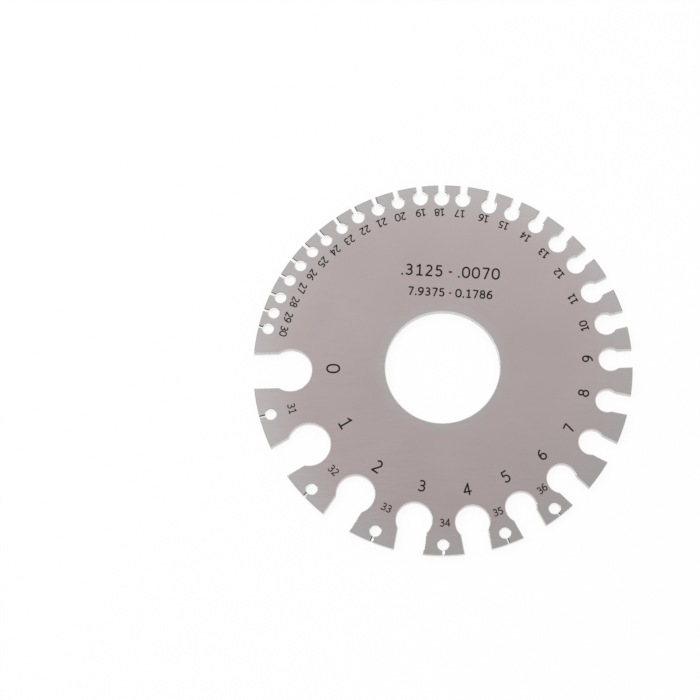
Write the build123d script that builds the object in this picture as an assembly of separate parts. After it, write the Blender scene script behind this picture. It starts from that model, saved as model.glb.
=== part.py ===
"""Round wire gauge: a flat steel disc with a central hole and a keyhole slot for each gauge number.

A slot is a parallel throat, cut in from the rim to the width of one gauge, that opens into a
round relief hole. The wire or sheet is tried in the throat and falls clear in the relief hole.
The disc lies flat on the XY plane. Its numbered face looks up and its hole is centred on +Z.
"""

import math
import os
from dataclasses import dataclass

from build123d import *

INCH = 25.4

# Driving dimensions in millimetres
disc_diameter = 84.1
disc_thickness = 2.0
hole_diameter = 25.4

# A throat is this much wider than the wire or sheet that it gauges
throat_clearance = 0.01

# Blend between a throat's side and its relief hole, and the break on every edge of both faces.
# Throats narrower than the limit are too fine for the deburring tool, so they are cut last and
# keep sharp edges and shoulders.
shoulder_radius = 0.3
edge_break = 0.1
narrowest_deburred_throat = 0.7

# How far a throat's cutter runs out past the rim, and how near a corner lies to where it is sought
cutter_overrun = 1.0
corner_tolerance = 0.01


@dataclass(frozen=True)
class Slot:
    """One keyhole slot of the schedule.

    size_inches is the US standard gauge size. bearing is the slot's direction from the disc's
    centre, in degrees from +X towards +Y. relief_drill is the relief hole's diameter, and
    relief_depth how far its centre lies in from the rim.
    """

    gauge: int
    size_inches: float
    bearing: float
    relief_drill: float
    relief_depth: float

    @property
    def throat_width(self) -> float:
        return self.size_inches * INCH + throat_clearance

    @property
    def is_deburred(self) -> bool:
        return self.throat_width > narrowest_deburred_throat


# The run of slots from 9 to 30 goes round the rim in order, and the finest stand between the widest
slots = [
    Slot(9, 0.15625, 2.5, 5.1, 4.8),
    Slot(10, 0.140625, 15.0, 4.9, 4.4),
    Slot(11, 0.125, 27.0, 4.8, 4.6),
    Slot(12, 0.109375, 38.0, 4.0, 4.1),
    Slot(13, 0.09375, 47.5, 4.0, 3.7),
    Slot(14, 0.078125, 57.0, 3.2, 3.4),
    Slot(15, 0.0703125, 66.0, 3.2, 3.4),
    Slot(16, 0.0625, 74.0, 3.2, 3.5),
    Slot(17, 0.05625, 83.0, 3.2, 3.1),
    Slot(18, 0.05, 90.0, 3.2, 3.1),
    Slot(19, 0.04375, 97.0, 3.2, 2.7),
    Slot(20, 0.0375, 104.5, 2.7, 2.8),
    Slot(21, 0.034375, 111.5, 2.7, 2.9),
    Slot(22, 0.03125, 118.5, 2.7, 2.6),
    Slot(23, 0.028125, 125.0, 2.4, 2.9),
    Slot(24, 0.025, 131.5, 2.4, 2.9),
    Slot(25, 0.021875, 137.5, 2.4, 2.6),
    Slot(26, 0.01875, 143.5, 2.4, 2.6),
    Slot(27, 0.0171875, 149.5, 2.4, 2.5),
    Slot(28, 0.015625, 156.0, 2.4, 2.5),
    Slot(29, 0.0140625, 161.5, 2.4, 2.4),
    Slot(30, 0.0125, 167.0, 2.4, 2.2),
    Slot(0, 0.3125, 181.0, 9.5, 8.3),
    Slot(31, 0.0109375, 195.5, 2.4, 2.6),
    Slot(1, 0.28125, 210.5, 9.5, 7.8),
    Slot(32, 0.01015625, 223.5, 2.4, 2.3),
    Slot(2, 0.265625, 236.0, 8.5, 7.7),
    Slot(33, 0.009375, 248.0, 2.4, 2.5),
    Slot(3, 0.25, 259.5, 7.9, 7.2),
    Slot(34, 0.00859375, 270.0, 2.4, 2.3),
    Slot(4, 0.234375, 280.5, 7.5, 6.7),
    Slot(35, 0.0078125, 290.0, 2.4, 2.5),
    Slot(5, 0.21875, 298.5, 6.8, 6.3),
    Slot(36, 0.00703125, 307.5, 2.4, 2.0),
    Slot(6, 0.203125, 316.0, 6.4, 5.9),
    Slot(7, 0.1875, 332.5, 5.6, 5.2),
    Slot(8, 0.171875, 348.0, 5.1, 4.9),
]


def shoulder_corners(slot: Slot, keyhole: Sketch) -> list[Vertex]:
    """Return the two corners where a throat's sides run into its relief hole."""
    half_width = slot.throat_width / 2
    run = math.sqrt((slot.relief_drill / 2) ** 2 - half_width**2)
    shoulder_x = disc_diameter / 2 - slot.relief_depth + run
    return [
        corner
        for corner in keyhole.vertices()
        if abs(corner.X - shoulder_x) < corner_tolerance
        and abs(abs(corner.Y) - half_width) < corner_tolerance
    ]


def keyhole_outline(slot: Slot) -> Sketch:
    """Return the outline that one slot cuts, from its relief hole out past the rim."""
    rim_x = disc_diameter / 2
    relief_x = rim_x - slot.relief_depth
    throat_length = slot.relief_depth + cutter_overrun
    relief = Pos(relief_x, 0) * Circle(slot.relief_drill / 2)
    throat = Pos(relief_x + throat_length / 2, 0) * Rectangle(throat_length, slot.throat_width)
    keyhole = relief + throat
    if slot.is_deburred:
        keyhole = fillet(shoulder_corners(slot, keyhole), shoulder_radius)
    return Rot(0, 0, slot.bearing) * keyhole


def gauge_disc() -> Part:
    """Return the whole gauge, cut from one sheet."""
    blank = Circle(disc_diameter / 2) - Circle(hole_diameter / 2)
    blank -= [keyhole_outline(slot) for slot in slots if slot.is_deburred]
    disc = extrude(blank, disc_thickness)
    disc = chamfer(disc.faces().filter_by(Axis.Z).edges(), edge_break)
    fine_slots = [keyhole_outline(slot) for slot in slots if not slot.is_deburred]
    return disc - [extrude(outline, disc_thickness) for outline in fine_slots]


os.makedirs("parts", exist_ok=True)
export_step(gauge_disc(), "parts/gauge_disc.step")
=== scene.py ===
"""Looks of the round wire gauge: a satin steel disc with keyhole slots and dark marked numbers.

The disc is drawn as a flat outline of straight throats, round relief holes and rim lands, given
its thickness with every edge rounded over, and made a mesh. The numbers are marked into both
faces by cutters that follow the strokes of each digit. Lengths are in metres, in the frame of
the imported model: the disc lies on the XY plane and its numbered face looks up.
"""

from __future__ import annotations

import logging
import math
from dataclasses import dataclass, field
from enum import Enum

import bpy
from mathutils import Matrix, Vector

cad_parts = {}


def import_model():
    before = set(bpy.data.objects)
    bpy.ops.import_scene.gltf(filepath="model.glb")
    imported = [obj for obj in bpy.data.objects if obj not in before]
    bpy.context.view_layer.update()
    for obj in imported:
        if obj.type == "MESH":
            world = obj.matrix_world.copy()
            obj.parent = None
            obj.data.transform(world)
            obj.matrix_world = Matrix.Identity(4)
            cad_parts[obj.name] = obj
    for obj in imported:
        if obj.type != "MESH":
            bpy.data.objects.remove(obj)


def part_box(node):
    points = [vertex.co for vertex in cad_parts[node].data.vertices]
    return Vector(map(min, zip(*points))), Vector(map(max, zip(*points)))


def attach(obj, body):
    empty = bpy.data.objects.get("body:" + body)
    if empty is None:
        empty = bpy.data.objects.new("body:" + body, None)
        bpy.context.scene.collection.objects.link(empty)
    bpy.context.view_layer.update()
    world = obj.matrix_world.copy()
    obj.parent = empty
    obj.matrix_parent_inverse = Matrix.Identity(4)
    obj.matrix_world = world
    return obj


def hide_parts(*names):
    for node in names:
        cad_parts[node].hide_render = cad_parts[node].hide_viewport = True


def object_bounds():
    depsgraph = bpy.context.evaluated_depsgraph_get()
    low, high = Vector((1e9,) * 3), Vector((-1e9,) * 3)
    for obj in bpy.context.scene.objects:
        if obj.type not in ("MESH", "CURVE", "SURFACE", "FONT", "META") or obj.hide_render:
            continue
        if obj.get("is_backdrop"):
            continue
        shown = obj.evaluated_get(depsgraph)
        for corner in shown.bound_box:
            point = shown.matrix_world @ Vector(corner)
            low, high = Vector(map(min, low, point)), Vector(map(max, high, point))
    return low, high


MM = 0.001
INCH = 25.4 * MM

# Points of a mesh this close are merged, and plain numbers this close count as equal
SAME_POINT = 0.001 * MM
ROUNDING = 1e-6

# How much wider than its gauge every throat is
THROAT_CLEARANCE = 0.01 * MM

Point = tuple[float, float]
Range = tuple[float, float]
Colour = tuple[float, float, float]
Stretch = tuple[float, float, float]
Socket = bpy.types.NodeSocket

log = logging.getLogger("wire_gauge")


class Face(Enum):
    """The two faces of the disc."""

    NUMBERED = "numbered"
    REVERSE = "reverse"


class Region(Enum):
    """What a polygon of the disc belongs to, as the index of its material."""

    FACE = 0
    BROKEN_EDGE = 1
    INNER_EDGE = 2
    TURNED_WALL = 3
    MILLED_WALL = 4
    BRIGHT_BORE = 5
    SLIT_WALL = 6
    BANDED_WALL = 7
    TINTED_LIP = 8
    MARK = 9


@dataclass(frozen=True)
class KeyholeSlot:
    """One slot of the gauge and the place of its number.

    Bearings are degrees from +X towards +Y, and depths and radii count from the rim and from the
    middle of the disc. All lengths but size_inches are millimetres.
    """

    gauge: int
    size_inches: float
    bearing: float
    relief_drill: float
    relief_depth: float
    label_bearing: float
    label_radius: float
    label_height: float = 1.78
    label_tilt: float = 0.0

    @property
    def throat(self) -> float:
        """Width of the throat, in metres."""
        return self.size_inches * INCH + THROAT_CLEARANCE

    @property
    def half_throat(self) -> float:
        """Half of that width."""
        return self.throat / 2

    @property
    def relief_radius(self) -> float:
        """Radius of the relief hole, in metres."""
        return self.relief_drill * MM / 2

    @property
    def inches(self) -> str:
        """The gauge size in inches to four places, as such gauges write it."""
        return f"{self.size_inches:.4f}".lstrip("0")

    @property
    def millimetres(self) -> str:
        """The gauge size in millimetres to four places."""
        return f"{self.size_inches * INCH / MM:.4f}"

    def holds(self, place: Vector, rim: float, reach: float) -> tuple[bool, bool]:
        """Tell whether a point lies in the throat, and whether in the relief hole.

        Args:
            place: The point, in the frame of the disc.
            rim: The disc's radius, in metres.
            reach: How far the edges spread past the sides and the bore, in metres.

        Returns:
            The answers, which are both true where the throat meets the bore.
        """
        own = Matrix.Rotation(math.radians(-self.bearing), 3, "Z") @ place
        middle = rim - self.relief_depth * MM
        is_along = middle < own.x < rim - reach
        in_throat = is_along and abs(own.y) < self.half_throat + reach
        in_relief = math.hypot(own.x - middle, own.y) < self.relief_radius + reach
        return in_throat, in_relief


# In the order of the rim: 9 to 30, and then the finest slots between the widest. The columns are
# gauge, inches, bearing, relief drill and depth, and the number's bearing, radius, height and tilt
SLOT_ROWS: tuple[tuple[float, ...], ...] = (
    (9, 0.15625, 2.5, 5.1, 4.8, 3.2, 32.15, 2.4),
    (10, 0.140625, 15.0, 4.9, 4.4, 16.3, 32.8, 1.86),
    (11, 0.125, 27.0, 4.8, 4.6, 27.9, 32.9),
    (12, 0.109375, 38.0, 4.0, 4.1, 39.2, 33.7),
    (13, 0.09375, 47.5, 4.0, 3.7, 48.8, 34.55),
    (14, 0.078125, 57.0, 3.2, 3.4, 57.9, 35.2, 1.78, -5.0),
    (15, 0.0703125, 66.0, 3.2, 3.4, 66.9, 35.4),
    (16, 0.0625, 74.0, 3.2, 3.5, 74.6, 35.5),
    (17, 0.05625, 83.0, 3.2, 3.1, 83.4, 35.6),
    (18, 0.05, 90.0, 3.2, 3.1, 90.7, 35.7),
    (19, 0.04375, 97.0, 3.2, 2.7, 97.5, 35.9),
    (20, 0.0375, 104.5, 2.7, 2.8, 105.0, 35.9, 1.88),
    (21, 0.034375, 111.5, 2.7, 2.9, 112.0, 35.95, 1.8),
    (22, 0.03125, 118.5, 2.7, 2.6, 118.6, 36.0),
    (23, 0.028125, 125.0, 2.4, 2.9, 125.3, 35.9, 1.8),
    (24, 0.025, 131.5, 2.4, 2.9, 131.6, 36.0),
    (25, 0.021875, 137.5, 2.4, 2.6, 137.7, 36.0, 1.78, 3.0),
    (26, 0.01875, 143.5, 2.4, 2.6, 143.8, 36.1),
    (27, 0.0171875, 149.5, 2.4, 2.5, 149.8, 36.2, 1.78, 7.0),
    (28, 0.015625, 156.0, 2.4, 2.5, 155.5, 36.2),
    (29, 0.0140625, 161.5, 2.4, 2.4, 161.5, 36.2),
    (30, 0.0125, 167.0, 2.4, 2.2, 166.7, 36.3),
    (0, 0.3125, 181.0, 9.5, 8.3, 180.6, 24.25, 3.15),
    (31, 0.0109375, 195.5, 2.4, 2.6, 195.6, 34.6),
    (1, 0.28125, 210.5, 9.5, 7.8, 210.4, 24.85, 3.15),
    (32, 0.01015625, 223.5, 2.4, 2.3, 224.0, 33.4),
    (2, 0.265625, 236.0, 8.5, 7.7, 237.4, 26.55, 2.95),
    (33, 0.009375, 248.0, 2.4, 2.5, 248.6, 33.9, 1.78, -5.0),
    (3, 0.25, 259.5, 7.9, 7.2, 260.3, 27.1, 2.65),
    (34, 0.00859375, 270.0, 2.4, 2.3, 270.65, 34.9),
    (4, 0.234375, 280.5, 7.5, 6.7, 280.9, 28.0, 2.75),
    (35, 0.0078125, 290.0, 2.4, 2.5, 290.3, 34.65, 1.7),
    (5, 0.21875, 298.5, 6.8, 6.3, 299.2, 28.3, 2.75),
    (36, 0.00703125, 307.5, 2.4, 2.0, 308.3, 35.0, 1.7),
    (6, 0.203125, 316.0, 6.4, 5.9, 317.5, 29.5, 2.5),
    (7, 0.1875, 332.5, 5.6, 5.2, 333.4, 31.05, 2.45),
    (8, 0.171875, 348.0, 5.1, 4.9, 349.1, 31.7, 2.5),
)
SLOTS = tuple(KeyholeSlot(int(gauge), *sizes) for gauge, *sizes in SLOT_ROWS)


def select_only(*objects: bpy.types.Object) -> None:
    """Deselect everything and select these objects, the first of them active.

    Args:
        objects: The objects that the next operator works on.
    """
    bpy.ops.object.select_all(action="DESELECT")
    for item in objects:
        item.select_set(True)
    bpy.context.view_layer.objects.active = objects[0]


def apply_modifier(piece: bpy.types.Object, kind: str, **settings: object) -> None:
    """Add a modifier to a piece, set it up and apply it.

    Args:
        piece: The mesh object that is modified.
        kind: The modifier's type, such as BOOLEAN.
        settings: Values of the modifier's own properties.
    """
    modifier = piece.modifiers.new(kind.lower(), kind)
    for name, value in settings.items():
        setattr(modifier, name, value)
    select_only(piece)
    bpy.ops.object.modifier_apply(modifier=modifier.name)


def merge_close_points(piece: bpy.types.Object) -> None:
    """Merge the points of a mesh that lie on each other, and turn its faces outwards.

    Args:
        piece: The mesh object.
    """
    select_only(piece)
    bpy.ops.object.mode_set(mode="EDIT")
    bpy.ops.mesh.select_all(action="SELECT")
    bpy.ops.mesh.remove_doubles(threshold=SAME_POINT)
    bpy.ops.mesh.normals_make_consistent(inside=False)
    bpy.ops.object.mode_set(mode="OBJECT")


def curve_to_mesh(curve: bpy.types.Curve, height: float = 0.0) -> bpy.types.Object:
    """Make a curve a mesh object whose place is in its mesh.

    Args:
        curve: The curve's data.
        height: How far its own plane is lifted, in metres.

    Returns:
        The mesh object, at the origin.
    """
    piece = bpy.data.objects.new(curve.name, curve)
    bpy.context.scene.collection.objects.link(piece)
    select_only(piece)
    bpy.ops.object.convert(target="MESH")
    piece = bpy.context.view_layer.objects.active
    piece.data.transform(Matrix.Translation((0.0, 0.0, height)))
    return piece


@dataclass
class Knot:
    """One point of an outline and its handles, which at first make the runs on both sides straight."""

    place: Vector
    left: Vector
    right: Vector
    left_type: str = "VECTOR"
    right_type: str = "VECTOR"


@dataclass
class OutlinePen:
    """Draws one closed outline of straight runs and arcs as a Bezier spline.

    turn is the angle in radians by which the points that are given are turned about the origin.
    """

    widest_arc: float = math.radians(45.0)
    turn: float = 0.0
    knots: list[Knot] = field(default_factory=list)

    def _place(self, x: float, y: float) -> Vector:
        """Return a point turned by the pen's present angle."""
        return Matrix.Rotation(self.turn, 3, "Z") @ Vector((x, y, 0.0))

    def line_to(self, x: float, y: float) -> None:
        """Draw a straight run to a point, or start the outline there.

        Args:
            x: The point's place along the pen's own X, in metres.
            y: Its place along the pen's own Y, in metres.
        """
        place = self._place(x, y)
        self.knots.append(Knot(place, left=place, right=place))

    def arc_to(self, centre: Point, radius: float, start: float, end: float) -> None:
        """Draw an arc from where the pen is.

        Args:
            centre: The arc's centre, in metres.
            radius: Its radius, in metres.
            start: The angle in radians of the point where the pen is.
            end: The angle of its last point, below start for a clockwise arc.
        """
        pieces = max(1, math.ceil(abs(end - start) / self.widest_arc - ROUNDING))
        step = (end - start) / pieces
        # The handle with which a cubic follows an arc of this angle
        reach = 4.0 / 3.0 * math.tan(step / 4.0) * radius
        for index in range(pieces):
            angles = (start + index * step, start + (index + 1) * step)
            first, last = (
                (centre[0] + radius * math.cos(a), centre[1] + radius * math.sin(a)) for a in angles
            )
            ahead, behind = ((-reach * math.sin(a), reach * math.cos(a)) for a in angles)
            self.knots[-1].right = self._place(first[0] + ahead[0], first[1] + ahead[1])
            self.knots[-1].right_type = "FREE"
            place = self._place(*last)
            handle = self._place(last[0] - behind[0], last[1] - behind[1])
            self.knots.append(Knot(place, left=handle, right=place, left_type="FREE"))

    def close_into(self, curve: bpy.types.Curve) -> None:
        """Add the outline to a curve as a closed spline. Its last point is its first.

        Args:
            curve: The curve that gets the spline.
        """
        last = self.knots.pop()
        self.knots[0].left = last.left
        self.knots[0].left_type = last.left_type
        spline = curve.splines.new("BEZIER")
        spline.bezier_points.add(len(self.knots) - 1)
        for point, knot in zip(spline.bezier_points, self.knots):
            point.handle_left_type = knot.left_type
            point.handle_right_type = knot.right_type
            point.co = knot.place
            point.handle_left = knot.left
            point.handle_right = knot.right
        spline.use_cyclic_u = True


# Values that a Noise Texture hardly ever leaves, and the detail of a soft and of a fine one
NOISE_RANGE: Range = (0.3, 0.7)
SOFT_DETAIL = 2.0
FINE_DETAIL = 3.0

WHITE = (1.0, 1.0, 1.0, 1.0)


@dataclass
class ShaderTree:
    """The nodes of one material, with short calls to add and join them."""

    material: bpy.types.Material
    nodes: bpy.types.Nodes = field(init=False)
    links: bpy.types.NodeLinks = field(init=False)
    output: bpy.types.Node = field(init=False)

    def __post_init__(self) -> None:
        """Clear the tree and add the output."""
        self.material.use_nodes = True
        self.nodes = self.material.node_tree.nodes
        self.links = self.material.node_tree.links
        self.nodes.clear()
        self.output = self.nodes.new("ShaderNodeOutputMaterial")

    def _feed(self, socket: Socket, value: object) -> None:
        """Join an output to an input socket, or give that a plain value.

        Args:
            socket: The input socket.
            value: The output socket, or the value.
        """
        if isinstance(value, Socket):
            self.links.new(value, socket)
        else:
            socket.default_value = value

    def _own_place(self) -> Socket:
        """Return the piece's own coordinates."""
        return self.add("TexCoord").outputs["Object"]

    def add(self, kind: str, **inputs: object) -> bpy.types.Node:
        """Add a node and set its sockets.

        Args:
            kind: The node's type, without the ShaderNode prefix.
            inputs: A value or an output socket for each input, with _ for a space in its name.

        Returns:
            The node.
        """
        node = self.nodes.new("ShaderNode" + kind)
        for name, value in inputs.items():
            self._feed(node.inputs[name.replace("_", " ")], value)
        return node

    def stretched_noise(self, stretch: Stretch, detail: float) -> Socket:
        """Add noise in the piece's own coordinates.

        Args:
            stretch: Cells of the noise in each metre along X, Y and Z.
            detail: The noise's detail.

        Returns:
            The noise's value.
        """
        mapping = self.add("Mapping", Vector=self._own_place(), Scale=stretch)
        noise = self.add("TexNoise", Vector=mapping.outputs["Vector"], Scale=1.0, Detail=detail)
        return noise.outputs["Fac"]

    def spread(self, value: Socket, low: float, high: float) -> Socket:
        """Map noise, which keeps near its middle, to a range.

        Args:
            value: The noise.
            low: What its low end becomes.
            high: What its high end becomes.

        Returns:
            The mapped value.
        """
        least, most = NOISE_RANGE
        ends = {"From_Min": least, "From_Max": most, "To_Min": low, "To_Max": high}
        return self.add("MapRange", Value=value, **ends).outputs["Result"]

    def ramp(self, value: Socket, start: float, end: float) -> Socket:
        """Return how far a value has gone from start to end, from 0 to 1."""
        return self.add("MapRange", Value=value, From_Min=start, From_Max=end).outputs["Result"]

    def height(self) -> Socket:
        """Return the height in the piece's own coordinates."""
        return self.add("SeparateXYZ", Vector=self._own_place()).outputs["Z"]

    def radius(self) -> Socket:
        """Add the distance from the piece's own Z axis.

        Returns:
            The distance, in metres.
        """
        place = self.add("SeparateXYZ", Vector=self._own_place())
        flat = self.add("CombineXYZ", X=place.outputs["X"], Y=place.outputs["Y"])
        length = self.add("VectorMath", Vector=flat.outputs["Vector"])
        length.operation = "LENGTH"
        return length.outputs["Value"]

    def combined(self, operation: str, first: Socket, second: Socket | float) -> Socket:
        """Combine two values, or a value and a number.

        Args:
            operation: What is done with them, such as ADD or MULTIPLY.
            first: The first value.
            second: The second value or the number.

        Returns:
            The result.
        """
        node = self.add("Math")
        node.operation = operation
        self._feed(node.inputs[0], first)
        self._feed(node.inputs[1], second)
        return node.outputs["Value"]

    def tone(self, share: Socket, first: Colour | Socket, second: Colour | Socket) -> Socket:
        """Mix two colours.

        Args:
            share: The second one's share, from 0 to 1.
            first: The colour at a share of 0.
            second: The colour at a share of 1.

        Returns:
            The mixed colour.
        """
        node = self.add("Mix")
        node.data_type = "RGBA"
        self._feed(node.inputs["Factor"], share)
        for name, colour in (("A", first), ("B", second)):
            is_linked = isinstance(colour, Socket)
            self._feed(node.inputs[name], colour if is_linked else (*colour, 1.0))
        return node.outputs["Result"]

    def blend(self, share: Socket, first: bpy.types.Node, second: bpy.types.Node) -> bpy.types.Node:
        """Mix two shaders.

        Args:
            share: The second one's share, from 0 to 1.
            first: The shader at a share of 0.
            second: The shader at a share of 1.

        Returns:
            The mixed shader.
        """
        node = self.add("MixShader", Fac=share)
        self.links.new(first.outputs[0], node.inputs[1])
        self.links.new(second.outputs[0], node.inputs[2])
        return node

    def finish(self, shader: bpy.types.Node) -> bpy.types.Material:
        """Join a shader to the output and return the material."""
        self.links.new(shader.outputs[0], self.output.inputs["Surface"])
        return self.material


@dataclass(frozen=True)
class SteelFinish:
    """Bare stainless steel with a fine grain, faint clouding and rough and smooth streaks.

    grain and cloud are how many cells of noise there are in each metre along X, Y and Z.
    """

    name: str
    dark: Colour
    light: Colour
    roughness: Range
    grain: Stretch = (3000.0, 3000.0, 3000.0)
    grain_depth: float = 0.0006 * MM
    cloud: Stretch = (45.0, 45.0, 45.0)

    def _colour(self, tree: ShaderTree) -> Socket:
        """Return the clouded colour of the steel."""
        cloud = tree.stretched_noise(self.cloud, SOFT_DETAIL)
        return tree.tone(tree.spread(cloud, 0.0, 1.0), self.dark, self.light)

    def _bump(self, tree: ShaderTree, grain: Socket) -> bpy.types.Node:
        """Return the bump node of the surface, from the height of its grain."""
        return tree.add("Bump", Height=grain, Distance=self.grain_depth, Strength=1.0)

    def material(self) -> bpy.types.Material:
        """Make the finish a material.

        Returns:
            The material.
        """
        tree = ShaderTree(bpy.data.materials.new(self.name))
        grain = tree.stretched_noise(self.grain, FINE_DETAIL)
        shader = tree.add(
            "BsdfPrincipled",
            Metallic=1.0,
            Base_Color=self._colour(tree),
            Roughness=tree.spread(grain, *self.roughness),
            Normal=self._bump(tree, grain).outputs["Normal"],
        )
        return tree.finish(shader)


@dataclass(frozen=True, kw_only=True)
class TumbledFaceFinish(SteelFinish):
    """Satin steel whose margins at the rim and at the hole are painted paler and greyer: painted
    light.

    Each margin lies between two distances from the hole's axis. The rim's is also shaded as if it
    fell away by crown_fall, ever more steeply: by the power crown_steepness of the way across.
    """

    margin: Colour
    rim_margin: Range = (34.0 * MM, 41.0 * MM)
    hole_margin: Range = (15.0 * MM, 12.9 * MM)
    crown: Range = (29.0 * MM, 42.0 * MM)
    crown_fall: float = 0.2 * MM
    crown_steepness: float = 2.0

    def _colour(self, tree: ShaderTree) -> Socket:
        """Blend the clouded colour into the margins' painted light.

        Args:
            tree: The material's nodes.

        Returns:
            The blended colour.
        """
        radius = tree.radius()
        rim = tree.ramp(radius, *self.rim_margin)
        hole = tree.ramp(radius, *self.hole_margin)
        # Painted light: the colour turns paler and greyer within the margins at the rim and the hole
        return tree.tone(tree.combined("MAXIMUM", rim, hole), super()._colour(tree), self.margin)

    def _bump(self, tree: ShaderTree, grain: Socket) -> bpy.types.Node:
        """Lay the grain on top of the rim's crown.

        Args:
            tree: The material's nodes.
            grain: The height of the grain.

        Returns:
            The bump node of both.
        """
        fall = tree.combined("POWER", tree.ramp(tree.radius(), *self.crown), self.crown_steepness)
        crown = tree.add("Bump", Height=fall, Distance=self.crown_fall, Strength=1.0)
        crown.invert = True
        bump = super()._bump(tree, grain)
        tree.links.new(crown.outputs["Normal"], bump.inputs["Normal"])
        return bump


@dataclass(frozen=True, kw_only=True)
class TwoToneWallFinish(SteelFinish):
    """A steel wall whose top is darker, as painted shade, blended in between the heights in top_edge.
    """

    top: Colour
    top_edge: Range

    def _colour(self, tree: ShaderTree) -> Socket:
        """Return the clouded colour of the foot, blended into the top's painted shade."""
        return tree.tone(tree.ramp(tree.height(), *self.top_edge), super()._colour(tree), self.top)


@dataclass(frozen=True)
class MarkFinish:
    """The dull, nearly black oxide in the marked numbers."""

    name: str
    dark: Colour
    light: Colour
    roughness: float
    specular: float = 0.15
    grain: Stretch = (9000.0, 9000.0, 9000.0)
    grain_depth: float = 0.01 * MM
    grain_strength: float = 0.6

    def material(self) -> bpy.types.Material:
        """Make the finish a material.

        Returns:
            The material.
        """
        tree = ShaderTree(bpy.data.materials.new(self.name))
        grain = tree.stretched_noise(self.grain, SOFT_DETAIL)
        bump = tree.add("Bump", Height=grain, Distance=self.grain_depth, Strength=self.grain_strength)
        shader = tree.add(
            "BsdfPrincipled",
            Roughness=self.roughness,
            Specular_IOR_Level=self.specular,
            Base_Color=tree.tone(tree.spread(grain, 0.0, 1.0), self.dark, self.light),
            Normal=bump.outputs["Normal"],
        )
        return tree.finish(shader)


def arc(centre: Point, radii: Point, start: float, end: float, pieces: int = 14) -> list[Point]:
    """Return points along an arc of an upright ellipse.

    Args:
        centre: The ellipse's centre.
        radii: Its half width and half height.
        start: Angle of the first point, in degrees.
        end: Angle of the last point, in degrees.
        pieces: How many straight pieces stand for the arc.

    Returns:
        The points, both ends included.
    """
    angles = (math.radians(start + (end - start) * k / pieces) for k in range(pieces + 1))
    return [(centre[0] + radii[0] * math.cos(a), centre[1] + radii[1] * math.sin(a)) for a in angles]


def half_turn(points: list[Point]) -> list[Point]:
    """Return points turned by half a turn about the middle of the digit."""
    return [(-x, -y) for x, y in points]


# How far a point, a dash and a space move the next character along, in heights
NARROW_ADVANCES = {".": 0.34, "-": 0.52, " ": 0.28}


@dataclass(frozen=True)
class NumeralStyle:
    """Plain upright numerals, as strokes of one weight about the middle of a box of height 1.

    advance is how far a digit moves the next character along.
    """

    weight: float
    advance: float

    def width_of(self, character: str) -> float:
        """Return how far a character moves the next one along."""
        return NARROW_ADVANCES.get(character, self.advance)

    def strokes(self, character: str) -> list[list[Point]]:
        """Lay out the centre lines of a character's strokes.

        Args:
            character: A digit, a point or a dash.

        Returns:
            Each stroke's points. A closed stroke ends where it starts.
        """
        end = 0.5
        top = end - self.weight / 2
        six_bowl = arc((0.01, -0.17), (0.25, top - 0.17), 0.0, 360.0, 24)
        six_tail = arc((0.17, -0.14), (0.41, top + 0.14), 178.0, 78.0)
        shapes = {
            "0": [
                arc((0.0, 0.1), (0.275, top - 0.1), 180.0, 0.0)
                + arc((0.0, -0.1), (0.275, top - 0.1), 0.0, -180.0)
                + [(-0.275, 0.1)],
            ],
            "1": [
                [(0.04, end), (0.04, -top)],
                [(-0.22, -top), (0.29, -top)],
                [(-0.22, 0.28), (0.04, 0.43)],
            ],
            "2": [
                arc((-0.02, 0.2), (0.22, top - 0.2), 152.0, -32.0) + [(-0.25, -top)],
                [(-0.3, -top), (0.28, -top)],
            ],
            "3": [
                arc((-0.03, 0.22), (0.21, top - 0.22), 150.0, -90.0),
                arc((-0.04, -0.2), (0.26, top - 0.2), 90.0, -150.0),
                [(-0.14, 0.01), (-0.02, 0.01)],
            ],
            "4": [
                [(0.12, 0.42), (-0.28, -0.2)],
                [(-0.33, -0.2), (0.33, -0.2)],
                [(0.12, end), (0.12, -end)],
            ],
            "5": [
                [(-0.22, top), (0.22, top)],
                [(-0.18, top), (-0.2, 0.04)],
                arc((-0.04, -0.16), (0.26, top - 0.16), 128.0, -148.0, 18),
            ],
            "6": [six_bowl, six_tail],
            "7": [[(-0.28, top), (0.28, top)], [(0.25, top), (-0.09, -end)]],
            "8": [
                arc((0.0, 0.225), (0.215, top - 0.225), 0.0, 360.0, 22),
                arc((0.0, -0.195), (0.26, top - 0.195), 0.0, 360.0, 24),
            ],
            "9": [half_turn(six_bowl), half_turn(six_tail)],
            ".": [[(0.0, -end), (0.0, -end + 1.15 * self.weight)]],
            "-": [[(-0.14, -0.04), (0.14, -0.04)]],
        }
        return shapes[character]


@dataclass(frozen=True)
class RangeLine:
    """One of the lines above the hole: its numerals, their height and the line's middle."""

    style: NumeralStyle
    height: float
    middle: Point


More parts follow.
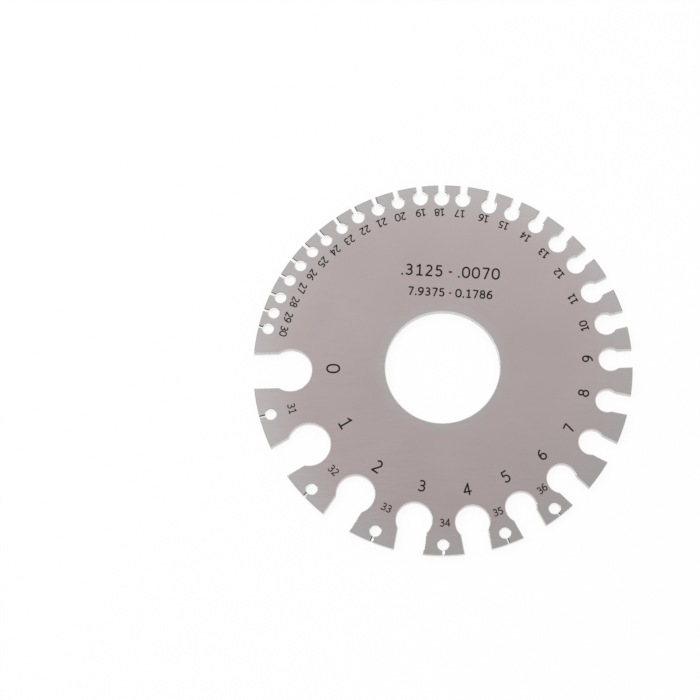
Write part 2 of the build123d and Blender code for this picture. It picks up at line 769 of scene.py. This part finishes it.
@dataclass
class MarkCutter:
    """Cuts numbers into the faces of a piece, each to the same depth.

    A character's cutter is modelled once in each style and copied to its places. It stands out of
    the face by overshoot. What the cut leaves doubled within weld_gap is welded.
    """

    material: bpy.types.Material
    depth: float = 0.04 * MM
    overshoot: float = 0.3 * MM
    weld_gap: float = 0.0001 * MM
    masters: dict[tuple[str, NumeralStyle], bpy.types.Object] = field(default_factory=dict)
    copies: list[bpy.types.Object] = field(default_factory=list)

    def _stroke(self, points: list[Point], weight: float) -> bpy.types.Object:
        """Return one stroke as an upright wall of the stroke's width.

        Args:
            points: The stroke's centre line, in a box of height 1.
            weight: Its width there.

        Returns:
            The wall, as a closed mesh object.
        """
        closed = math.dist(points[0], points[-1]) < ROUNDING
        if closed:
            points = points[:-1]
        curve = bpy.data.curves.new("stroke", "CURVE")
        curve.dimensions = "3D"
        curve.extrude = (self.depth + self.overshoot) / 2
        spline = curve.splines.new("POLY")
        spline.points.add(len(points) - 1)
        for target, (x, y) in zip(spline.points, points):
            target.co = (x, y, 0.0, 1.0)
        spline.use_cyclic_u = closed
        wall = curve_to_mesh(curve, (self.overshoot - self.depth) / 2)
        merge_close_points(wall)
        apply_modifier(wall, "SOLIDIFY", thickness=weight, offset=0.0, use_even_offset=True)
        return wall

    def _master(self, character: str, style: NumeralStyle) -> bpy.types.Object:
        """Model the one cutter of a character in a style, unless that is done.

        Args:
            character: The character.
            style: Its style.

        Returns:
            The cutter, in a box of height 1.
        """
        key = (character, style)
        if key not in self.masters:
            first, *rest = (self._stroke(points, style.weight) for points in style.strokes(character))
            for stroke in rest:
                apply_modifier(first, "BOOLEAN", operation="UNION", solver="MANIFOLD", object=stroke)
                bpy.data.objects.remove(stroke)
            first.data.materials.clear()
            first.data.materials.append(self.material)
            self.masters[key] = first
        return self.masters[key]

    def write(self, text: str, style: NumeralStyle, height: float, place: Matrix) -> None:
        """Put a line of characters in place, centred.

        Args:
            text: The characters.
            style: Their style.
            height: Their height, in metres.
            place: From the line's own frame, in which it runs along X and its face looks along Z,
                to the frame of the piece.
        """
        cursor = -sum(style.width_of(character) for character in text) / 2
        for character in text:
            step = style.width_of(character)
            if character != " ":
                master = self._master(character, style)
                copy = bpy.data.objects.new("mark", master.data.copy())
                bpy.context.scene.collection.objects.link(copy)
                shift = Matrix.Translation(((cursor + step / 2) * height, 0.0, 0.0))
                copy.data.transform(place @ shift @ Matrix.Diagonal((height, height, 1.0, 1.0)))
                self.copies.append(copy)
            cursor += step

    def cut(self, piece: bpy.types.Object) -> None:
        """Cut all that was written into a piece and delete the cutters.

        Args:
            piece: The mesh object that is cut.
        """
        log.info("%s: %d characters marked", piece.name, len(self.copies))
        select_only(*self.copies)
        bpy.ops.object.join()
        cutter = bpy.context.view_layer.objects.active
        apply_modifier(
            piece,
            "BOOLEAN",
            operation="DIFFERENCE",
            solver="MANIFOLD",
            object=cutter,
            material_mode="TRANSFER",
        )
        apply_modifier(piece, "WELD", merge_threshold=self.weld_gap)
        for spent in (cutter, *self.masters.values()):
            bpy.data.objects.remove(spent)


@dataclass
class GaugeDisc:
    """The whole gauge: a flat disc with its slots, rounded edges and marked numbers.

    The shoulders of throats under narrowest_blended stay sharp. stroke_widths gives the width of
    a gauge number's strokes, each up to and with a gauge.

    A polygon is of an edge where its normal's share along Z lies between steepest_edge and
    flattest_edge, and edges count as edge_reach times as wide as they are. It is on the far side
    of an opening where its normal's share along -Y, towards the camera, is over far_facing: there
    the edges of slots with small relief holes get a darker finish than their bright bore, as
    painted shade. The slits under widest_slit have bright walls and, on the side that faces -Y, a
    near-black lip of painted dark reflection, which reaches down the wall as a band of painted
    shade in those under widest_banded. Relief holes under widest_bright have bright walls, coloured
    near white.
    """

    node: str = "gauge_disc"
    slot: str = "plate_steel"
    hole_radius: float = 12.7 * MM
    edge_break: float = 0.15 * MM
    edge_steps: int = 1
    shoulder_radius: float = 0.3 * MM
    narrowest_blended: float = 0.7 * MM
    arc_steps: int = 8
    number_advance: float = 0.675
    stroke_widths: tuple[tuple[int, float], ...] = (
        (2, 0.385 * MM),
        (9, 0.355 * MM),
        (13, 0.32 * MM),
        (30, 0.275 * MM),
        (36, 0.245 * MM),
    )
    inches_line: RangeLine = RangeLine(
        NumeralStyle(weight=0.14, advance=0.82), height=2.7 * MM, middle=(1.9 * MM, 21.9 * MM)
    )
    millimetres_line: RangeLine = RangeLine(
        NumeralStyle(weight=0.165, advance=0.78), height=2.0 * MM, middle=(1.8 * MM, 17.0 * MM)
    )
    range_slope: float = math.radians(-3.5)
    reverse_style: NumeralStyle = NumeralStyle(weight=0.165, advance=0.7)
    reverse_height: float = 1.25 * MM
    reverse_gap: float = 1.0 * MM
    flattest_edge: float = 0.999
    steepest_edge: float = 0.05
    edge_reach: float = 1.1
    far_facing: float = 0.45
    widest_slit: float = 0.9 * MM
    widest_banded: float = 0.34 * MM
    widest_bright: float = 3.5 * MM
    smoothed_angle: float = math.radians(50.0)
    thickness: float = field(init=False)
    radius: float = field(init=False)

    def __post_init__(self) -> None:
        """Take the disc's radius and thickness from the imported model."""
        low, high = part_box(self.node)
        self.thickness = high.z - low.z
        self.radius = max(-low.x, -low.y, high.x, high.y)

    def _draw_slot(self, pen: OutlinePen, slot: KeyholeSlot) -> None:
        """Draw one slot from the rim, round its relief hole and back out.

        Args:
            pen: The pen, which stands on the rim at the slot's first corner.
            slot: The slot.
        """
        half = slot.half_throat
        bore = slot.relief_radius
        blend = 0.0 if slot.throat < self.narrowest_blended else self.shoulder_radius
        middle = self.radius - slot.relief_depth * MM
        run = math.sqrt((bore + blend) ** 2 - (half + blend) ** 2)
        opening = math.atan2(half + blend, run)
        pen.turn = math.radians(slot.bearing)
        pen.line_to(middle + run, -half)
        if blend:
            lower = (middle + run, -half - blend)
            pen.arc_to(lower, blend, math.pi / 2, math.pi - opening)
        pen.arc_to((middle, 0.0), bore, -opening, opening - 2 * math.pi)
        if blend:
            upper = (middle + run, half + blend)
            pen.arc_to(upper, blend, opening - math.pi, -math.pi / 2)
        pen.line_to(math.sqrt(self.radius**2 - half**2), half)

    def _outline(self) -> bpy.types.Curve:
        """Draw the flat outline of the disc, with its thickness and rounded edges.

        Returns:
            The curve.
        """
        curve = bpy.data.curves.new("disc_outline", "CURVE")
        curve.dimensions = "2D"
        curve.fill_mode = "BOTH"
        curve.resolution_u = self.arc_steps
        curve.extrude = self.thickness / 2 - self.edge_break
        curve.bevel_depth = self.edge_break
        curve.bevel_resolution = self.edge_steps
        curve.offset = -self.edge_break
        rim = OutlinePen()
        first = SLOTS[0]
        rim.turn = math.radians(first.bearing)
        rim.line_to(math.sqrt(self.radius**2 - first.half_throat**2), -first.half_throat)
        for slot, following in zip(SLOTS, (*SLOTS[1:], first)):
            self._draw_slot(rim, slot)
            ahead = math.radians((following.bearing - slot.bearing) % 360.0)
            start = math.asin(slot.half_throat / self.radius)
            end = ahead - math.asin(following.half_throat / self.radius)
            rim.arc_to((0.0, 0.0), self.radius, start, end)
        rim.close_into(curve)
        hole = OutlinePen()
        hole.line_to(self.hole_radius, 0.0)
        hole.arc_to((0.0, 0.0), self.hole_radius, 0.0, 2 * math.pi)
        hole.close_into(curve)
        return curve

    def _face_frame(self, face: Face, bearing: float, radius: float, turn: float) -> Matrix:
        """Return the frame of a line of characters on a face.

        Args:
            face: The face that it is marked on.
            bearing: Bearing of the line's middle, in degrees.
            radius: Distance of its middle from the disc's centre, in metres.
            turn: How far it is turned from standing with its head to the centre, in degrees.

        Returns:
            The matrix from that frame to the disc's.
        """
        out = Matrix.Rotation(math.radians(bearing), 4, "Z") @ Matrix.Translation((radius, 0.0, 0.0))
        if face is Face.NUMBERED:
            lift = Matrix.Translation((0.0, 0.0, self.thickness))
        else:
            lift = Matrix.Rotation(math.pi, 4, "X")
        return out @ lift @ Matrix.Rotation(math.radians(90.0 + turn), 4, "Z")

    def _mark_gauges(self, cutter: MarkCutter) -> None:
        """Write the gauge numbers inside their slots, heads to the centre.

        Args:
            cutter: What they are cut with.
        """
        for slot in SLOTS:
            height = slot.label_height * MM
            stroke = next(width for last, width in self.stroke_widths if slot.gauge <= last)
            style = NumeralStyle(weight=stroke / height, advance=self.number_advance)
            place = self._face_frame(
                Face.NUMBERED, slot.label_bearing, slot.label_radius * MM, slot.label_tilt
            )
            cutter.write(str(slot.gauge), style, height, place)

    def _mark_range(self, cutter: MarkCutter) -> None:
        """Write the range of the gauge above the hole, in inches and in millimetres.

        Args:
            cutter: What it is cut with.
        """
        widest = max(SLOTS, key=lambda slot: slot.size_inches)
        finest = min(SLOTS, key=lambda slot: slot.size_inches)
        slope = Matrix.Rotation(self.range_slope, 4, "Z")
        for line, text in (
            (self.inches_line, f"{widest.inches} - {finest.inches}"),
            (self.millimetres_line, f"{widest.millimetres} - {finest.millimetres}"),
        ):
            place = Matrix.Translation((*line.middle, self.thickness)) @ slope
            cutter.write(text, line.style, line.height, place)

    def _mark_decimals(self, cutter: MarkCutter) -> None:
        """Write each slot's size in inches on the reverse, along its own radius.

        Args:
            cutter: What they are cut with.
        """
        for slot in SLOTS:
            text = slot.inches
            length = sum(self.reverse_style.width_of(c) for c in text) * self.reverse_height
            inner = self.radius - slot.relief_depth * MM - slot.relief_radius
            radius = inner - self.reverse_gap - length / 2
            # All read from the left once the disc is turned over like a page
            turn = 0.0 if 90.0 < slot.bearing < 270.0 else 180.0
            place = self._face_frame(Face.REVERSE, slot.bearing, radius, turn - 90.0)
            cutter.write(text, self.reverse_style, self.reverse_height, place)

    def _region(self, polygon: bpy.types.MeshPolygon) -> Region:
        """Tell what a polygon of the disc belongs to.

        Args:
            polygon: The polygon. The marks already have their own material.

        Returns:
            Its region.
        """
        if polygon.material_index == Region.MARK.value:
            return Region.MARK
        flatness = abs(polygon.normal.z)
        if flatness > self.flattest_edge:
            return Region.FACE
        is_edge = flatness > self.steepest_edge
        reach = self.edge_reach * self.edge_break
        from_axis = polygon.center.xy.length
        if from_axis > self.radius - reach:
            return Region.BROKEN_EDGE if is_edge else Region.TURNED_WALL
        if from_axis < self.hole_radius + reach:
            return Region.INNER_EDGE if is_edge else Region.TURNED_WALL
        for slot in SLOTS:
            in_throat, in_relief = slot.holds(polygon.center, self.radius, reach)
            if in_throat and slot.throat < self.widest_slit:
                if polygon.normal.y > -self.steepest_edge:
                    return Region.SLIT_WALL
                # Painted dark reflection: the lips that face -Y are coloured near black
                if polygon.normal.z > self.steepest_edge:
                    return Region.TINTED_LIP
                # Painted shade: in the narrowest slits the wall that faces -Y is near black at its top
                is_shade_banded = slot.throat < self.widest_banded
                return Region.BANDED_WALL if is_shade_banded else Region.SLIT_WALL
            if 2 * slot.relief_radius < self.widest_bright and (in_throat or in_relief):
                # Painted shade: edges that face -Y get the darker edge finish instead of the bright
                # bore's
                is_painted_shade = polygon.normal.xy.normalized().y < -self.far_facing
                return Region.BROKEN_EDGE if is_edge and is_painted_shade else Region.BRIGHT_BORE
        return Region.INNER_EDGE if is_edge else Region.MILLED_WALL

    def _dress(self, disc: bpy.types.Object) -> None:
        """Give each polygon its finish and keep the flat faces flat in the shading.

        Args:
            disc: The cut disc, whose marks already have their own material.
        """
        mesh = disc.data
        regions = [self._region(polygon) for polygon in mesh.polygons]
        mesh.polygons.foreach_set("material_index", [region.value for region in regions])
        flat_edges = {
            key
            for polygon, region in zip(mesh.polygons, regions)
            if region in (Region.FACE, Region.MARK)
            for key in polygon.edge_keys
        }
        for edge in mesh.edges:
            edge.use_edge_sharp = edge.key in flat_edges
        select_only(disc)
        bpy.ops.object.shade_smooth_by_angle(angle=self.smoothed_angle, keep_sharp_edges=True)

    def build(self) -> None:
        """Model, mark and dress the disc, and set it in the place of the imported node."""
        disc = curve_to_mesh(self._outline(), self.thickness / 2)
        disc.name = "marked_gauge_disc"
        merge_close_points(disc)
        for region in Region:
            if region is not Region.MARK:
                disc.data.materials.append(FINISHES[region].material())
        cutter = MarkCutter(FINISHES[Region.MARK].material())
        self._mark_gauges(cutter)
        self._mark_range(cutter)
        self._mark_decimals(cutter)
        cutter.cut(disc)
        self._dress(disc)
        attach(disc, "root")
        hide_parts(self.node)
        log.info("%s: %d polygons", disc.name, len(disc.data.polygons))


# Grain that runs up the walls, and the bright steel of the slits
UPRIGHT_GRAIN: Stretch = (3000.0, 3000.0, 500.0)
SLIT_STEEL: dict[str, Colour | Range] = {
    "dark": (0.94, 0.93, 0.93),
    "light": (0.98, 0.98, 0.98),
    "roughness": (0.08, 0.14),
}

FINISHES: dict[Region, SteelFinish | MarkFinish] = {
    Region.FACE: TumbledFaceFinish(
        name="satin_face",
        dark=(0.350, 0.302, 0.298),
        light=(0.370, 0.322, 0.318),
        # Painted light: the margin colour, paler and greyer towards the rim and the hole
        margin=(0.356, 0.336, 0.336),
        roughness=(0.34, 0.42),
        grain=(260.0, 7000.0, 260.0),
    ),
    # Also used as painted shade, on the edges of small bores that face -Y
    Region.BROKEN_EDGE: SteelFinish(
        name="tumbled_edge_and_painted_shade",
        dark=(0.42, 0.41, 0.41),
        light=(0.48, 0.47, 0.46),
        roughness=(0.2, 0.28),
    ),
    # Painted highlight: the inner edges are coloured far paler than the face, so they read as bright
    # lines
    Region.INNER_EDGE: SteelFinish(
        name="painted_highlight_edge",
        dark=(0.72, 0.71, 0.705),
        light=(0.78, 0.77, 0.76),
        roughness=(0.2, 0.28),
    ),
    Region.TURNED_WALL: SteelFinish(
        name="turned_wall",
        dark=(0.59, 0.57, 0.565),
        light=(0.65, 0.63, 0.62),
        roughness=(0.18, 0.26),
        grain=UPRIGHT_GRAIN,
    ),
    Region.MILLED_WALL: TwoToneWallFinish(
        name="milled_wall",
        dark=(0.780, 0.761, 0.753),
        light=(0.840, 0.819, 0.811),
        # Painted shade: the upper part of each wall is darker than its foot
        top=(0.520, 0.507, 0.502),
        top_edge=(0.3 * MM, 1.5 * MM),
        roughness=(0.25, 0.34),
        grain=UPRIGHT_GRAIN,
    ),
    Region.BRIGHT_BORE: SteelFinish(
        name="bright_bore",
        dark=(0.86, 0.855, 0.85),
        light=(0.91, 0.905, 0.90),
        roughness=(0.18, 0.26),
    ),
    Region.SLIT_WALL: SteelFinish(name="slit_wall", **SLIT_STEEL),
    # Painted shade: a near-black band at the top of the wall
    Region.BANDED_WALL: TwoToneWallFinish(
        name="banded_wall",
        top=(0.030, 0.026, 0.024),
        top_edge=(1.3 * MM, 1.5 * MM),
        **SLIT_STEEL,
    ),
    # Painted dark reflection on the lips of the slits
    Region.TINTED_LIP: SteelFinish(
        name="tinted_lip",
        dark=(0.020, 0.017, 0.016),
        light=(0.040, 0.035, 0.032),
        roughness=(0.4, 0.5),
    ),
    Region.MARK: MarkFinish(
        name="dark_mark",
        dark=(0.010, 0.004, 0.004),
        light=(0.018, 0.009, 0.008),
        roughness=0.75,
    ),
}


@dataclass(frozen=True)
class PhotoView:
    """The photograph's viewpoint: an orbit round the middle of the numbered face.

    The pixel values are in the photograph's own square frame, and centre_pixel is where the
    middle of the face is in it. The angles are degrees. sensor is in the camera's millimetres.
    """

    picture_side: float = 700.0
    focal_pixels: float = 2546.0
    centre_pixel: Point = (441.93, 366.53)
    distance: float = 564.65 * MM
    tilt: float = 13.345
    azimuth: float = 8.616
    roll: float = -8.616
    sensor: float = 36.0

    def make_camera(self, target: Vector) -> None:
        """Add the camera and make it the scene's.

        Args:
            target: The middle of the numbered face.
        """
        azimuth, roll = math.radians(self.azimuth), math.radians(self.roll)
        rise = math.radians(90.0 - self.tilt)
        back = Vector(
            (math.sin(azimuth) * math.cos(rise), -math.cos(azimuth) * math.cos(rise), math.sin(rise))
        )
        level = Vector((0.0, 0.0, 1.0)).cross(back).normalized()
        upright = back.cross(level)
        right = math.cos(roll) * level + math.sin(roll) * upright
        up = math.cos(roll) * upright - math.sin(roll) * level
        middle = (self.picture_side - 1.0) / 2
        scale = self.distance / self.focal_pixels
        offset = (self.centre_pixel[0] - middle) * scale * right
        offset -= (self.centre_pixel[1] - middle) * scale * up
        place = target - offset + self.distance * back
        data = bpy.data.cameras.new("photo_view")
        data.sensor_width = self.sensor
        data.lens = self.sensor * self.focal_pixels / self.picture_side
        camera = bpy.data.objects.new("photo_view", data)
        bpy.context.scene.collection.objects.link(camera)
        axes = Matrix((right, up, back)).transposed()
        camera.matrix_world = Matrix.Translation(place) @ axes.to_4x4()
        bpy.context.scene.camera = camera


@dataclass(frozen=True)
class SoftLamp:
    """A square studio lamp that looks down at the gauge.

    bearing is where it stands, in degrees from +X towards +Y, and tilt is how far it is from overhead.
    """

    name: str
    bearing: float
    power: float
    tilt: float = 34.0
    distance: float = 0.7
    side: float = 0.3

    def build(self, target: Vector) -> None:
        """Add the lamp.

        Args:
            target: The point that it looks at.
        """
        data = bpy.data.lights.new(self.name, "AREA")
        data.shape = "SQUARE"
        data.size = self.side
        data.energy = self.power
        lamp = bpy.data.objects.new(self.name, data)
        bpy.context.scene.collection.objects.link(lamp)
        lean = Matrix.Rotation(math.radians(self.tilt), 3, "Y")
        turn = Matrix.Rotation(math.radians(self.bearing), 3, "Z")
        outward = turn @ lean @ Vector((0.0, 0.0, 1.0))
        lamp.location = target + self.distance * outward
        lamp.rotation_euler = outward.to_track_quat("Z", "Y").to_euler()


@dataclass(frozen=True)
class Studio:
    """A plain pale floor, a pale surround and soft lamps. The camera sees the surround white.

    white_to_camera is the share of white in what the camera sees of the floor.
    """

    floor_side: float = 6.0
    floor_gap: float = 0.02 * MM
    floor_grey: float = 0.85
    white_to_camera: float = 0.9
    surround: float = 0.78
    lamps: tuple[SoftLamp, ...] = (
        SoftLamp("right_lamp", bearing=50.0, power=0.344),
        SoftLamp("back_lamp", bearing=90.0, power=0.312),
        SoftLamp("left_lamp", bearing=170.0, power=1.462),
    )

    def _floor(self, base: float) -> None:
        """Add the floor, white to the camera and in reflections, and clear from below.

        Args:
            base: Height of the surface that the gauge lies on.
        """
        bpy.ops.object.select_all(action="DESELECT")
        under = (0.0, 0.0, base - self.floor_gap)
        bpy.ops.mesh.primitive_plane_add(size=self.floor_side, location=under)
        floor = bpy.context.view_layer.objects.active
        floor.name = "studio_floor"
        tree = ShaderTree(bpy.data.materials.new("pale_floor"))
        path = tree.add("LightPath")
        reflected = tree.combined(
            "ADD", path.outputs["Is Glossy Ray"], path.outputs["Is Transmission Ray"]
        )
        direct = tree.combined("MULTIPLY", path.outputs["Is Camera Ray"], self.white_to_camera)
        whiteness = tree.combined("ADD", direct, reflected)
        matt = tree.add("BsdfDiffuse", Color=(self.floor_grey,) * 3 + (1.0,))
        white = tree.add("Emission", Color=WHITE, Strength=1.0)
        shown = tree.blend(whiteness, matt, white)
        clear = tree.add("BsdfTransparent")
        below = tree.add("NewGeometry").outputs["Backfacing"]
        floor.data.materials.append(tree.finish(tree.blend(below, shown, clear)))
        floor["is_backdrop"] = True

    def _surround(self) -> None:
        """Set the world to an even light, which the camera sees as white."""
        world = bpy.data.worlds.new("pale_surround")
        world.use_nodes = True
        nodes, links = world.node_tree.nodes, world.node_tree.links
        strength = nodes.new("ShaderNodeMapRange")
        strength.inputs["To Min"].default_value = self.surround
        links.new(nodes.new("ShaderNodeLightPath").outputs["Is Camera Ray"], strength.inputs["Value"])
        background = nodes["Background"]
        background.inputs["Color"].default_value = WHITE
        links.new(strength.outputs["Result"], background.inputs["Strength"])
        bpy.context.scene.world = world

    def build(self, base: float, target: Vector) -> None:
        """Add the floor, the surround and the lamps.

        Args:
            base: Height of the surface that the gauge lies on.
            target: The point that the lamps look at.
        """
        self._floor(base)
        self._surround()
        for lamp in self.lamps:
            lamp.build(target)
        bpy.context.scene.view_settings.view_transform = "Standard"


def main() -> None:
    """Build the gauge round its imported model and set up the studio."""
    logging.basicConfig(level=logging.INFO, format="%(name)s: %(message)s")
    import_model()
    packed_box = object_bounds()
    low, high = packed_box
    face_middle = Vector((0.0, 0.0, high.z))
    GaugeDisc().build()
    Studio().build(low.z, face_middle)
    PhotoView().make_camera(face_middle)


if __name__ == "__main__":
    main()
